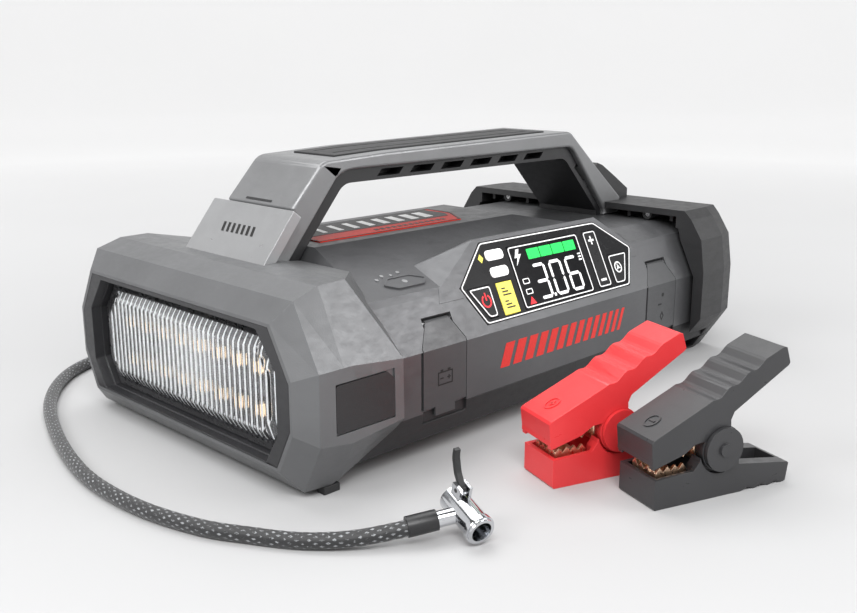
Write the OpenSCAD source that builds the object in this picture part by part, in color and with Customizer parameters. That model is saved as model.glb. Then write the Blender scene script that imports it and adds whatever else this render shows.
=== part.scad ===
// Jump starter pack with a lamp head, a built-in tyre inflator and two battery clamps.
// X runs from the lamp (negative) to the rear bumper, the control side faces -Y, +Z is up.
// The origin is on the floor, under the middle of the pack.

/* [Overall] */
// Length of the pack, from the lamp bezel to the rear bumper
pack_len = 310; // [290:1:380]
// Width of the body at its shoulder line
body_w = 163.8; // [150:0.2:200]
// Height of the body's flat crown
crown_z = 85; // [82:0.5:92]
// Height of the carrying handle's top at its rear end
handle_z = 125.4; // [118:0.2:155]

/* [Lamp head] */
// Length of the lamp head
head_len = 50; // [44:1:62]
// How far the head stands proud of the body on each side
head_proud = 6.5; // [4.5:0.1:9]
// Height of the head's top face
head_z = 78.1; // [76:0.1:80]
// Width of the lamp's window
window_w = 140; // [110:1:144]
// Height of the lamp's window
window_h = 50; // [38:0.5:52]
// Number of light-emitting diodes in a row
led_count = 8; // [4:1:9]
// Distance between diodes
led_pitch = 14; // [8:0.5:15]

/* [Body] */
// Wall of the moulded shells
wall = 2.6; // [2:0.1:3.4]
// Height of the seam between the two shells
seam_z = 20.5; // [18:0.5:20.5]
// Height of the shoulder line
shoulder_z = 47.2; // [45:0.2:49]
// Tilt of the shoulder facet from the vertical
shoulder_tilt = 25.6; // [22:0.2:28]
// Gap left round every loose cover and button
gap = 0.35; // [0.3:0.05:0.5]

/* [Handle] */
// Width of the handle bar
handle_w = 48; // [38:1:58]
// Height of the finger gap above the crown
finger_gap = 25.6; // [22:0.2:27]
// Depth of the rubber strip in the bar
strip_t = 2; // [1.2:0.1:3]

/* [Controls] */
// Thickness of the glossy control panel
fascia_t = 2; // [1.4:0.1:2.6]
// Travel of the three push buttons
button_travel = 0.8; // [0.4:0.1:1]
// How far a button stands proud of the panel
button_proud = 0.5; // [0.2:0.1:1]
// Width of the display
display_w = 53; // [44:1:54]
// Height of the display
display_h = 30; // [24:1:31]

/* [Port covers] */
// Width of the jump port cover
jump_cover_w = 26; // [22:0.5:28]
// Width of the charging port cover
usb_cover_w = 27; // [24:0.5:29]
// Thickness of both covers
cover_t = 2; // [1.6:0.1:2.4]
// Radius of the cover hinge pins
pin_r = 0.7; // [0.5:0.05:0.8]
// Radius of each bore of the jump socket
socket_bore_r = 2.6; // [2:0.1:3]

/* [Hose] */
// Outer diameter of the braided hose
hose_d = 6; // [5:0.5:8]
// Radius of the chuck's bore, which takes a tyre valve's stem
valve_r = 3.9; // [3.9:0.05:4.4]
// Depth of the chuck's bore
valve_depth = 12; // [9:0.5:13]
// Wall of the chuck round its bore
chuck_wall = 1.2; // [1:0.1:2]
/* [Clamps] */
// Length of a clamp's lower half
clamp_len = 66; // [56:1:76]
// Width of a clamp
clamp_w = 22; // [20:0.5:24]
// Radius of a clamp's pivot pin
clamp_pin_r = 2.2; // [1.8:0.1:2.8]
// Radius of a clamp's spring coil, at the middle of its wire
spring_r = 8.2; // [7:0.1:8.6]

/* [Hidden] */
$fn = 48;
eps = 0.01;
fit = 0.05;          // running fit of a pin in its bore
seat = 0.15;         // gap of a piece set into its pocket

// Body
shoulder_y = body_w / 2;
belly_z = 5;                         // underside of the lower shell
body_x0 = 24;                        // body's front end, inside the head
body_x1 = pack_len - 8;              // body's rear end, inside the bumper
facet_len = 22;                      // shoulder facet, up its slope
crown_half = 25;
facet_top = [shoulder_y - facet_len * sin(shoulder_tilt),
             shoulder_z + facet_len * cos(shoulder_tilt)];
crown_x1 = pack_len - 120;           // where the crown starts to fall
deck_x0 = pack_len - 70;             // where the flat rear deck starts
deck_z = crown_z - 10;

// Head
head_y = shoulder_y + head_proud;
head_rim = 7;                        // depth of the front bevel
bevel_side = 7.7;
bevel_top = 8.4;
head_low_z = 3.3;
window_z0 = 15;

// Handle
bar_z = crown_z + finger_gap;        // underside of the bar
liner_t = 6.9;                       // black inner band of the bar
liner_w = handle_w - 6;
plate_w = handle_w + 11;
rear = pack_len - 310;               // how far the rear end has moved

// Control pod and panel, in the facet's own plane: x along, y up the slope
pod_top = 42.4;
panel = [[99, 22.4], [119.7, 40.8], [206, 40.3], [230.5, 23.5], [219.5, 4], [109, 3.7]];
display_at = [162.8, 21];
power_key = [[103, 20.9], [117.5, 20.9], [117.3, 6.4], [111.6, 6.4]];
unit_key = [[121.8, 20.9], [132.2, 20.9], [132.2, 5.9], [121.8, 5.9]];
rocker_key = [[194.4, 36], [204.8, 36], [204.8, 6.4], [194.4, 6.4]];
pump_key = [[208.6, 21.6], [224.8, 21.6], [216.8, 6.4], [208.6, 6.4]];
key_depth = 4.6;
key_flange = 1.2;
rocker_axis = [199.6, 21.2];
rocker_pin = [1.2, 13.2];            // radius and length of its trunnion bar
lamp_marks = [[127, 34], [127, 26]];

// Port covers
jump_x = 80.4;                       // middle of the jump port cover
usb_x = pack_len - 61.6;             // middle of the charging port cover
cover_z0 = 21.8;                     // lower edge of both covers
cover_s = 11.6;                      // hinge axis, up the facet
hinge_h = -1.4;                      // hinge axis, below the surface
knuckle_r = 1.35;
swing_r = gap - hinge_h;              // reach of the upper edge round the hinge, with its gap
cover_taper = 5.5;                   // how far each side draws in towards the top
well_depth = 16;
tab_t = 1.1;                         // finger tab of a cover
tab_len = 4;

// Hose: route of its middle line, from the outlet behind the pack to the chuck
hose_r = hose_d / 2;
ROUTE = [[50, 104, 36], [50, 112, 35], [49, 121, 31], [46, 130, 24], [40, 138, 15], [31, 145, 8],
         [18, 150, 4], [2, 153, 3], [-24, 155, 3], [-52, 155, 3], [-80, 152, 3], [-108, 146, 3],
         [-135, 134, 3], [-155, 115, 3], [-172, 88, 3], [-185, 55, 3], [-195, 20, 3],
         [-200, -11, 3], [-199, -44, 3], [-192, -73, 3], [-183, -91, 3], [-173, -107, 3],
         [-161, -120, 4], [-147, -130, 6], [-137, -135, 7.5]];
gland_at = [50, 84, 36];
chuck_at = [-126, -141, 9];          // where the hose's axis meets the chuck's
chuck_tilt = 16;                     // how far the bore points down
chuck_turn = -14;                    // how far it turns from -Y
end_way = unit(chuck_at - ROUTE[len(ROUTE) - 1]);
lever_pivot = [7.2, -4.4];           // up from the barrel's axis, and along it
chuck_r = valve_r + chuck_wall;
seal_r = valve_r - 0.5;               // pocket of the seal, below the bore

// Clamps: where each one's front corner lies, and the way it points
clamp_yaw = -20;
black_at = [-62, -178, 0];
red_at = [-73, -139, 0];
clamp_pivot = [31, 20];
clamp_cheek = 2.6;                   // side walls of the upper half
clamp_inner = clamp_w / 2 - clamp_cheek - 0.35;
pivot_cap_r = 9.2;
pivot_cheek = 2.4;                   // inner cheeks of the lower half
spring_wire_r = 0.95;
spring_half = clamp_inner - pivot_cheek - spring_wire_r - 0.2;
spring_turns = ceil(spring_half / 1.6);
tooth_pitch = 3.6;

// ---------- helpers ----------

function flat(lists) = [for (l = lists) for (item = l) item];
function mirrored(half) = concat(half, [for (i = [len(half) - 1:-1:0]) [-half[i][0], half[i][1]]]);

// Outline with its corners rounded: each corner is [x, y, radius]
function unit(v) = v / norm(v);
function corner(a, b, c, r) = r <= 0 ? [b] :
    let (u = unit(a - b), v = unit(c - b), half = acos(u * v) / 2, w = unit(u + v),
         middle = b + w * r / sin(half), start = b + u * r / tan(half) - middle,
         end = b + v * r / tan(half) - middle, turn = acos(start * end / r / r),
         side = start[0] * end[1] - start[1] * end[0] > 0 ? 1 : -1, steps = 6)
    [for (i = [0:steps]) let (t = side * turn * i / steps)
        middle + [start[0] * cos(t) - start[1] * sin(t), start[0] * sin(t) + start[1] * cos(t)]];
function rounded(path) = let (n = len(path), p = [for (q = path) [q[0], q[1]]])
    flat([for (i = [0:n - 1]) corner(p[(i + n - 1) % n], p[i], p[(i + 1) % n], path[i][2])]);
function rounded_all(path, r) = rounded([for (p = path) [p[0], p[1], r]]);

// Rings of points joined into one closed solid, both ends capped
module loft(rings) {
    n = len(rings[0]);
    m = len(rings);
    polyhedron(points = flat(rings), faces = concat(
        [[for (i = [0:n - 1]) i]],
        [[for (i = [n - 1:-1:0]) (m - 1) * n + i]],
        flat([for (k = [0:m - 2]) for (i = [0:n - 1])
            let (a = k * n + i, b = k * n + (i + 1) % n)
            [[a, a + n, b + n], [a, b + n, b]]])));
}
function ring(x, outline) = [for (p = outline) [x, p[0], p[1]]];

// From the lamp's face (x = 0) to the part's own frame
module in_pack() translate([-pack_len / 2, 0, 0]) children();
// An outline of [y, z] run along X, and one of [x, z] run along Y about the middle
module along_x(x0, x1) translate([x0, 0, 0]) rotate([90, 0, 90]) linear_extrude(x1 - x0) children();
module along_y(width) translate([0, width / 2, 0]) rotate([90, 0, 0]) linear_extrude(width) children();
// The control side's shoulder facet: x along the pack, y up the slope, z outward
module on_facet(h = 0) translate([0, -shoulder_y, shoulder_z]) rotate([90 - shoulder_tilt, 0, 0])
    translate([0, 0, h]) children();
module facet_plate(outline, h0, h1) on_facet(h0) linear_extrude(h1 - h0) polygon(outline);
function grown(outline, d) = let (n = len(outline), c = [for (k = [0, 1]) sum(outline, k) / n])
    [for (p = outline) p + unit(p - c) * d];
function sum(list, k, i = 0) = i == len(list) ? 0 : list[i][k] + sum(list, k, i + 1);

// ---------- body ----------

function body_half(inset) = [
    [shoulder_y - 8 - inset, belly_z + inset], [shoulder_y - 1.2 - inset, belly_z + 4 + inset / 2],
    [shoulder_y - inset, seam_z], [shoulder_y - inset, shoulder_z],
    [facet_top[0] - inset, facet_top[1]], [facet_top[0] - 1.6 - inset, facet_top[1] + 2.8 - inset],
    [crown_half, crown_z - inset]];

// Room that the body fills, grown or shrunk evenly
module body_room(inset, x0, x1) difference() {
    along_x(x0, x1) polygon(mirrored(body_half(inset)));
    along_y(2 * body_w) polygon([[crown_x1, crown_z - inset], [deck_x0, deck_z - inset],
        [pack_len * 2, deck_z - inset], [pack_len * 2, crown_z * 2], [crown_x1, crown_z * 2]]);
    along_y(2 * body_w) polygon([[0, head_z - 2.2 - inset], [head_len + 1 + inset, head_z - 2.2 - inset],
        [head_len + 7 + inset, crown_z + eps - inset], [head_len + 7 + inset, crown_z * 2], [0, crown_z * 2]]);
}

// Raised pod that carries the control panel
module pod(inset) {
    up = function (x, s, h) [x, -shoulder_y + s * sin(shoulder_tilt) - h * cos(shoulder_tilt),
        shoulder_z + s * cos(shoulder_tilt) + h * sin(shoulder_tilt)];
    points = [
        up(84.7 + inset, 18, -inset), up(87 + inset, 24, -inset), up(116 + inset, pod_top - inset, -inset),
        up(208.5 - inset, pod_top - inset, -inset), up(233 - inset, 24, -inset),
        up(233 - inset, 18, -inset),
        [86 + inset, -50, 74], [142, -38 - inset, crown_z - 6], [196, -38 - inset, crown_z - 6],
        [236 - inset, -46, 73], [100, -50, 60], [220, -50, 60]];
    hull() for (p = points) translate(p) cube(0.2, center = true);
}

// A port cover's section, hung from its hinge: d is its depth and out how far it reaches outwards
function facet_at(s, h) = [s * sin(shoulder_tilt) - h * cos(shoulder_tilt),
                           s * cos(shoulder_tilt) + h * sin(shoulder_tilt)];
function cover_section(d, out, low) = [
    [-out, cover_z0 - shoulder_z - low], [-out, out * tan(shoulder_tilt) / 2], facet_at(cover_s, out),
    facet_at(cover_s, -d), [d, -d * tan(shoulder_tilt) / 2], [d, cover_z0 - shoulder_z - low]];
module cover_hull(x, w, d, out, grow) difference() {
    translate([0, -shoulder_y, shoulder_z]) along_x(x - w / 2 - grow, x + w / 2 + grow)
        polygon(cover_section(d, out, grow));
    for (side = [-1, 1]) on_facet(-10) translate([x + side * (w / 2 + grow), 0, 0])
        linear_extrude(20) polygon([[side, 1.5], [side, cover_s + 4],
            [-side * cover_taper, cover_s + 4], [-side * cover_taper, cover_s - 0.5], [0, 1.5]]);
}
module cover_knuckle(x, w, r) on_facet(hinge_h) translate([x - w / 2, cover_s, 0])
    rotate([0, 90, 0]) cylinder(r = r, h = w);
module port_cover(x, w) {
    knuckle_w = w - 12;
    difference() {
        union() {
            cover_hull(x, w, cover_t, 0, 0);
            cover_knuckle(x, knuckle_w, knuckle_r);
        }
        cover_knuckle(x, w, pin_r + fit);
    }
    // finger tab at the lower edge
    translate([x - 6, -shoulder_y, cover_z0 - tab_len]) cube([12, tab_t, tab_len + 0.5]);
}
module cover_recess(x, w) {
    cover_hull(x, w, cover_t + gap, 2, gap);
    translate([x - w / 2 - 1.4, -shoulder_y - 1, cover_z0]) cube([2, cover_t + 1, shoulder_z - cover_z0]);
    tab_recess(x, w);
    // room for the cover's upper edge as it swings
    cover_knuckle(x, w - 2 * cover_taper + 2 * gap + 2, swing_r);
    translate([0, -shoulder_y, shoulder_z])
        along_x(x - w / 2 + cover_taper - gap - 1, x + w / 2 - cover_taper + gap + 1)
            polygon([facet_at(cover_s - 2, hinge_h), facet_at(cover_s + swing_r, hinge_h),
                facet_at(cover_s + swing_r + 1, 1), facet_at(cover_s - 2, 1)]);
    cover_knuckle(x, w - 4, pin_r + 0.02);
}
module tab_recess(x, w) translate([x - w / 2 - gap, -shoulder_y - 1, cover_z0 - tab_len - 2])
    cube([w + 2 * gap, tab_t + 1 + gap, tab_len + 2]);
module port_well(x, w) translate([x - w / 2 - 3, -shoulder_y, 0]) difference() {
    translate([0, 0.5, seam_z]) cube([w + 6, well_depth, shoulder_z + 16 - seam_z]);
    rotate([0, 90, 0]) translate([0, 0, -1]) linear_extrude(w + 8) polygon([
        [-shoulder_z, 0], [-shoulder_z - 30 * cos(shoulder_tilt), 30 * sin(shoulder_tilt)],
        [-shoulder_z - 30, 0]]);
}

module body_upper_shell() color("#55565a") in_pack() difference() {
    union() {
        difference() {
            union() {
                body_room(0, body_x0, body_x1);
                pod(0);
            }
            body_room(wall, body_x0 - 1, body_x1 - wall);
            pod(wall);
            translate([-1, -body_w, -1]) cube([pack_len * 2, 2 * body_w, seam_z + 1]);
        }
        port_well(jump_x, jump_cover_w);
        port_well(usb_x, usb_cover_w);
        facet_plate(grown(panel, 2.5), -fascia_t - 2, -fascia_t + 0.1);
    }
    head_room(0.2);
    facet_plate(grown(panel, seat), -fascia_t, 5);
    facet_plate(grown(panel, -4), -fascia_t - 12, 5);
    for (key = [power_key, unit_key, rocker_key, pump_key])
        facet_plate(grown(key, key_flange + 1), -key_depth - 3, 0);
    cover_recess(jump_x, jump_cover_w);
    cover_recess(usb_x, usb_cover_w);
    translate([jump_x - 9.2, -shoulder_y - 1, 27.8]) cube([18.4, 60, 14.4]);
    translate([usb_x - 9.2, -shoulder_y - 1, 25.8]) cube([18.4, 60, 18.4]);
    // hose outlet on the far side
    translate([pack_len / 2 + gland_at[0], shoulder_y - 10, gland_at[2]])
        rotate([-90, 0, 0]) cylinder(r = 6 + fit, h = 20);
    // vents beside the compressor
    for (i = [0:5]) translate([pack_len - 84 + 7 * i, shoulder_y - 6, 30]) cube([2.6, 12, 14]);
}

module body_lower_shell() color("#333436") in_pack() difference() {
    body_room(0, body_x0, body_x1);
    body_room(wall, body_x0 - 1, body_x1 - wall);
    translate([-1, -body_w, seam_z]) cube([pack_len * 2, 2 * body_w, 200]);
    head_room(0.2);
    tab_recess(jump_x, jump_cover_w);
    tab_recess(usb_x, usb_cover_w);
}

module base_pad() color("#1d1e20") in_pack() translate([pack_len / 2, 0, 0]) difference() {
    linear_extrude(belly_z) polygon(rounded_all(
        [[-80, -48], [80, -48], [80, 48], [-80, 48]], 10));
    for (x = [-52, 0, 52]) translate([x, 0, -1]) linear_extrude(2.5)
        polygon(rounded_all([[-20, -36], [20, -36], [20, 36], [-20, 36]], 5));
}

// ---------- lamp head ----------

function head_outline(x) =
    let (front = max(0, 1 - x / head_rim), back = max(0, (x - 23) / (head_len - 23)),
         under = max(0, (x - 19) / (head_len - 19)))
    mirrored([
        [head_y - 11.6 - 5.1 * front + 3.2 * min(1, x / 23) + 2.6 * under,
         head_low_z + bevel_top * front + 15.5 * under],
        [head_y - bevel_side * front, 25.3 + 3.4 * front - 3.3 * min(1, x / 23) + 3 * back],
        [head_y - bevel_side * front - 0.4 * back, 52.9 - 3 * front - 3 * back],
        [head_y - lookup(x, [[0, 19.5], [head_rim, 13.8], [33, 15], [head_len, 32]]),
         head_z + lookup(x, [[0, -bevel_top], [head_rim, 0], [19, 3.9], [33, 4.2], [head_len, 2]])]]);
module head_form() loft([for (x = [0, head_rim, 19, 23, 33, head_len]) ring(x, head_outline(x))]);
// Slice of the head's room that the body's front end fills
module head_room(g) translate([body_x0 - 1, -body_w, -1]) cube([6 + g, 2 * body_w, 200]);

function window(grow) = mirrored([
    [window_w / 2 - 8 + grow, window_z0 - grow], [window_w / 2 + grow, window_z0 + 12 - grow / 3],
    [window_w / 2 + grow, window_z0 + window_h - 14 + grow / 3],
    [window_w / 2 - 11.5 + grow, window_z0 + window_h + grow]]);
function bezel_outline(inset) = mirrored([for (p = [for (i = [0:3]) head_outline(0)[i]])
    [p[0] - inset, p[1] + (p[1] > head_z / 2 ? -inset : inset)]]);
bezel_depth = 14;
lens_x = 4;
lens_t = 2;
board_x = 11;

module head_shell() color("#6a6b6e") in_pack() difference() {
    head_form();
    along_x(-1, bezel_depth) polygon(bezel_outline(1.4));
    along_x(bezel_depth - 1, body_x0 + 8) polygon(window(-2));
    body_room(-0.25, body_x0 + 5, pack_len);
    // seats of the handle's front leg and its nose plate
    along_y(plate_w + 2 * seat) polygon([[23.4, head_z], [33, 90], [39.8, 90], [30.2, head_z]]);
    along_y(handle_w + 2 * seat) polygon([[29, head_z], [39, 90], [head_len + 9, 90], [head_len + 9, head_z]]);
    for (side = [-1, 1]) along_x(14.8, 45.2)
        translate([side * (head_y + 0.2), 37]) square([2.6, 20.4], center = true);
}
module lamp_bezel() color("#2c2d2f") in_pack() difference() {
    along_x(0, bezel_depth - seat) polygon(bezel_outline(1.4 + seat));
    along_x(-1, lens_x + 0.6) polygon(window(1.2));
    along_x(lens_x, bezel_depth + 1) polygon(window(-1));
    along_x(lens_x + 0.4, board_x + 2) polygon(window(0.6 + seat));
}
module lamp_lens() color("white", 0.5) in_pack() difference() {
    loft([ring(lens_x - 1, window(-9)), ring(lens_x + 0.5, window(-1.2)), ring(lens_x + lens_t, window(-1.2)),
        ring(lens_x + lens_t + 0.01, window(0.6)), ring(lens_x + lens_t + 1.2, window(0.6))]);
    loft([ring(lens_x + lens_t - 1.2, window(-10)), ring(lens_x + lens_t + 0.1, window(-4)),
        ring(lens_x + 2 * lens_t, window(-4))]);
}
module led_spots() for (row = [29, 47]) for (i = [0:led_count - 1])
    translate([0, (i - (led_count - 1) / 2) * led_pitch, row]) rotate([0, 90, 0]) children();
module lamp_reflector() color("silver") in_pack() difference() {
    along_x(lens_x + lens_t + 1.4, board_x - seat) polygon(window(0.4));
    led_spots() cylinder(r = led_pitch / 2 - 1.4, h = board_x + 2);
}
module led_board() color("#e8e3d2") in_pack() {
    along_x(board_x, board_x + 1.6) polygon(window(0.4));
    translate([board_x - 1.2, 0, 0]) led_spots() cube([4, 4, 2.6], center = true);
}
module head_pad(side) in_pack() translate([0, side * (head_y - 0.5), 0]) rotate([90, 0, 0])
    translate([0, 0, -0.5]) linear_extrude(1) polygon(rounded_all(
        [[15, 27.4], [45, 27.4], [45, 43], [41, 46.6], [15, 46.6]], 1.2));
module head_pad_near() color("#2b2c2e") head_pad(-1);
module head_pad_far() color("#2b2c2e") head_pad(1);
module front_feet() color("#8b8c8e") in_pack() for (side = [-1, 1])
    translate([15, side * (head_y - 11) - 2.5, 0]) cube([8, 5, head_low_z]);

// ---------- handle ----------

function handle_outer() = rounded([
    [30.4, head_z, 0], [47.9, 100.4, 0], [46.6, 102.8, 0], [64, 121.5, 9],
    [104, handle_z - 2.2, 300], [240 + rear, handle_z, 8], [268 + rear, 102.5, 0],
    [291 + rear, 84.6, 0], [291 + rear, deck_z, 0]]);
function handle_inner(d) = rounded([
    [49.6 - 1.3 * d, head_z - 1, 0], [78 - 0.6 * d, bar_z + d, 9 + d],
    [239 + rear + 0.5 * d, bar_z + d, 10],
    [271 + rear + 0.75 * d, deck_z + 3, 0], [271 + rear + 0.75 * d, deck_z - 1, 0]]);

module handle_frame() color("#7b7c7f") in_pack() difference() {
    along_y(handle_w) polygon(handle_outer());
    along_y(handle_w + 2) polygon(handle_inner(liner_t * 0.9));
    // pocket for the rubber strip, which follows the bar's top
    along_y(handle_w - 18) polygon(strip_outline(seat));
    translate([0, 0, -200 + head_z]) cube([120, 400, 400], center = true);
    body_room(-0.1, body_x0, pack_len + 1);
}
function strip_outline(g) = [
    [78 - g, handle_z + 3], [78 - g, 119.6 - g], [92, 122.9 - strip_t - g],
    [104, handle_z - 2 - strip_t - g], [228 + rear + g, handle_z - 0.4 - strip_t - g],
    [228 + rear + g, handle_z + 3]];
module handle_grip() color("#1c1d1f") in_pack() difference() {
    intersection() {
        along_y(handle_w - 18 - 2 * seat) polygon(strip_outline(-seat));
        translate([0, 0, 0.6]) along_y(handle_w) polygon(handle_outer());
    }
    for (side = [-1, 1]) translate([0, side * 7, 0.1]) along_y(1.6) polygon([
        [84, 121.5], [104, handle_z - 2.6], [222 + rear, handle_z - 0.9],
        [222 + rear, handle_z + 3], [84, handle_z + 3]]);
}
module handle_liner() color("#17181a") in_pack() difference() {
    along_y(liner_w) polygon(handle_inner(liner_t * 0.9 - seat));
    along_y(handle_w) polygon(handle_inner(0));
    body_room(-0.1, body_x0, pack_len + 1);
    translate([0, 0, -200 + head_z + 0.1]) cube([120, 400, 400], center = true);
    for (side = [-1, 1]) {
        for (x = [98:21:206]) translate([x, side * liner_w / 2, bar_z]) rotate([90, 0, 0])
            translate([0, 0, -8]) linear_extrude(16) polygon([[0, 1.6], [14, 1.6], [17, 4.8], [3, 4.8]]);
        for (k = [0.18, 0.55]) translate([240 + rear + 33 * k, side * liner_w / 2, bar_z - 31 * k])
            rotate([90, 43, 0]) translate([2, 1.4, -9]) linear_extrude(18) square([12.5, 2.8]);
    }
}
module handle_nose_plate() color("#939497") in_pack() along_y(plate_w) polygon([
    [23.7, head_z + 0.1], [43.5, 103], [47.4, 99.9], [30, head_z + 0.1]]);

// ---------- rear bumper ----------

lip_x = pack_len - 35;
function bumper_outline(y, z, low) = mirrored([
    [y - 16, low], [y, 24], [y, 50], [y - 2.6 + z / 4, 68], [y - 9.5 + z / 4, 78.6 + z / 4],
    [y - 14 - z, crown_z - 2 + z / 4]]);
module bumper_form() loft([
    ring(lip_x, bumper_outline(head_y + 2.6, 0, 2)),
    ring(pack_len - 12, bumper_outline(head_y + 2.4, 0, 0)),
    ring(pack_len, bumper_outline(head_y, -0.5, 0))]);
module rear_bumper() color("#38393b") in_pack() difference() {
    union() {
        difference() {
            bumper_form();
            body_room(-3, lip_x - 1, pack_len - 6);
            // hollow over the rear deck, behind the top frame
            along_x(lip_x - 1, pack_len - 8) polygon([
                [-72, deck_z - 4], [72, deck_z - 4], [72, crown_z - 5.5], [-72, crown_z - 5.5]]);
        }
        // seat that holds the body's end, with ribs and screw bosses on its top
        difference() {
            bumper_form();
            body_room(-0.3, lip_x - 1, body_x1 + 0.3);
            translate([lip_x - 1, -body_w, -1]) cube([pack_len - 14 - lip_x, 2 * body_w, 200]);
        }
        for (side = [-1, 1]) {
            for (y = [38, 66]) translate([lip_x + 5, side * y - 1, deck_z + 0.6]) cube([20, 2, 6]);
            translate([lip_x + 2, side * 52, deck_z + 3.6]) rotate([0, 90, 0]) cylinder(r = 3, h = 22);
        }
        // tongue up the back of the handle's rear leg
        along_y(handle_w - 8) polygon([[268.9 + rear, 102.8], [272 + rear, 105.6], [277 + rear, 104],
            [290 + rear, 96.5], [304 + rear, 88], [304 + rear, 80], [291.6 + rear, 80],
            [291.6 + rear, 85]]);
    }
    along_y(handle_w + 1) polygon([[240 + rear, 60], [240 + rear, 90], [268 + rear, 102.75],
        [291.3 + rear, 84.8], [291.3 + rear, 60]]);
    for (side = [-1, 1]) translate([lip_x + 1, side * 52, deck_z + 3.6]) rotate([0, 90, 0])
        cylinder(r = 1.7, h = 10);
    for (side = [-1, 1]) for (z = [24, 60]) translate([pack_len - 4, side * 70, z]) rotate([0, 90, 0])
        cylinder(r = 3.4, h = 9);
    for (i = [0:6]) translate([pack_len - 2.4, -42, 26 + 5 * i]) cube([4, 84, 2]);
}
module bumper_screws() color("#9a9b9d") in_pack() {
    for (side = [-1, 1]) translate([lip_x + 2.6, side * 52, deck_z + 3.6]) rotate([0, 90, 0])
        screw(1.55, 8);
    for (side = [-1, 1]) for (z = [24, 60]) translate([pack_len - 1.4, side * 70, z])
        rotate([0, -90, 0]) screw(3.3, 2.5);
}
module screw(r, h) difference() {
    cylinder(r = r, h = h);
    translate([0, 0, -eps]) cylinder(r = r / 2, h = r < 2 ? 0.8 : 1.2, $fn = 6);
}
module top_label() color("#c8321e") in_pack() translate([0, 0, crown_z]) linear_extrude(0.4)
    polygon([[66, -18], [158, -18], [170, 0], [170, 18], [66, 18]]);

// ---------- controls ----------

module control_fascia() color("#232426") in_pack() difference() {
    facet_plate(panel, -fascia_t, 0.3);
    for (key = [power_key, unit_key, rocker_key, pump_key]) facet_plate(grown(key, gap), -4, 4);
    on_facet(-0.9) translate([display_at[0] - display_w / 2 - seat, display_at[1] - display_h / 2 - seat, 0])
        cube([display_w + 2 * seat, display_h + 2 * seat, 3]);
    for (p = lamp_marks) on_facet(-4) lamp_slot(p, seat);
}
module lamp_slot(p, g) linear_extrude(8) polygon(rounded_all([
    [p[0] - 6 - g, p[1] - 2.4 - g], [p[0] + 6 + g, p[1] - 2.4 - g],
    [p[0] + 6 + g, p[1] + 2.4 + g], [p[0] - 6 - g, p[1] + 2.4 + g]], 2));
module display_screen() color("#1a1b1d") in_pack() on_facet(-0.9 + 0.05)
    translate([display_at[0] - display_w / 2, display_at[1] - display_h / 2, 0])
        cube([display_w, display_h, 1.35]);
module indicator_lamps() color("white") in_pack() intersection() {
    union() for (p = lamp_marks) on_facet(-4) lamp_slot(p, 0);
    facet_plate(panel, -fascia_t + 0.05, 0.5);
}
// A key through the panel, with a flange behind it that stops it falling out
module key_block(outline) {
    facet_plate(outline, -key_depth, button_proud);
    facet_plate(grown(outline, key_flange), -key_depth, -fascia_t - 0.4);
}
module power_button() color("#1f2022") in_pack() key_block(power_key);
module unit_button() color("#f5e95e") in_pack() key_block(unit_key);
module pump_button() color("#1f2022") in_pack() key_block(pump_key);
module adjust_rocker() color("#1f2022") in_pack() {
    facet_plate(rocker_key, -key_depth, button_proud);
    // trunnion bar that it rocks on
    on_facet(-key_depth) translate(rocker_axis) rotate([0, 90, 0])
        cylinder(r = rocker_pin[0], h = rocker_pin[1], center = true);
}

// ---------- ports ----------

module jump_port_cover() color("#4a4b4e") in_pack() port_cover(jump_x, jump_cover_w);
module usb_port_cover() color("#4a4b4e") in_pack() port_cover(usb_x, usb_cover_w);
module jump_cover_pin() color("silver") in_pack() cover_knuckle(jump_x, jump_cover_w - 4.4, pin_r);
module usb_cover_pin() color("silver") in_pack() cover_knuckle(usb_x, usb_cover_w - 4.4, pin_r);
module jump_socket() color("#2f5fb0") in_pack() translate([jump_x, -shoulder_y + 7, 35]) difference() {
    translate([-9, 0, -7]) cube([18, 22, 14]);
    for (side = [-1, 1]) translate([side * 4.2, -1, 0]) rotate([-90, 0, 0])
        cylinder(r = socket_bore_r, h = 15);
}
module usb_socket_block() color("#b9bbbe") in_pack() translate([usb_x, -shoulder_y + 7, 35]) difference() {
    translate([-9, 0, -9]) cube([18, 16, 18]);
    translate([-6.2, -1, 1.6]) cube([12.4, 10, 4.6]);
    translate([-4.5, -1, -5.6]) cube([9, 10, 3.4]);
}

// ---------- inside ----------

floor_z = belly_z + wall;
module battery_pack() color("#3f78b5") in_pack() translate([74, -26, floor_z]) {
    cube([112, 96, 40]);
    translate([20, 30, 40]) cube([30, 36, 3]);
}
module control_board() color("#2c7a46") in_pack() {
    translate([112, -18, 58]) cube([100, 60, 1.6]);
    for (x = [120:22:200]) translate([x, -6, 50.7]) cube([10, 10, 7.4]);
}
pump_at = [pack_len - 88, 30, 34];   // crank's axis, pointing along X
gear_span = 28.4;                    // between the crank's and the motor's axes
module gear(r, teeth, h) linear_extrude(h) polygon([for (i = [0:teeth - 1])
    for (q = [[-0.22, -1], [-0.08, 0.8], [0.08, 0.8], [0.22, -1]])
        (r + q[1]) * [cos((i + q[0]) * 360 / teeth), sin((i + q[0]) * 360 / teeth)]]);
module compressor_block() color("#b9bbbe") in_pack() translate(pump_at) difference() {
    union() {
        translate([8, -11, -pump_at[2] + floor_z]) cube([44, 24, pump_at[2] - floor_z + 12]);
        translate([30, 1, 10]) cylinder(r = 10.5, h = 26);
        for (i = [0:4]) translate([30, 1, 14 + 4.5 * i]) cylinder(r = 14, h = 1.8);
    }
    translate([-1, 0, 0]) rotate([0, 90, 0]) cylinder(r = 3 + fit, h = 12);
    translate([30, 1, 11]) cylinder(r = 8, h = 22);
    translate([20, -8, -9]) cube([24, 18, 22]);
}
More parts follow.
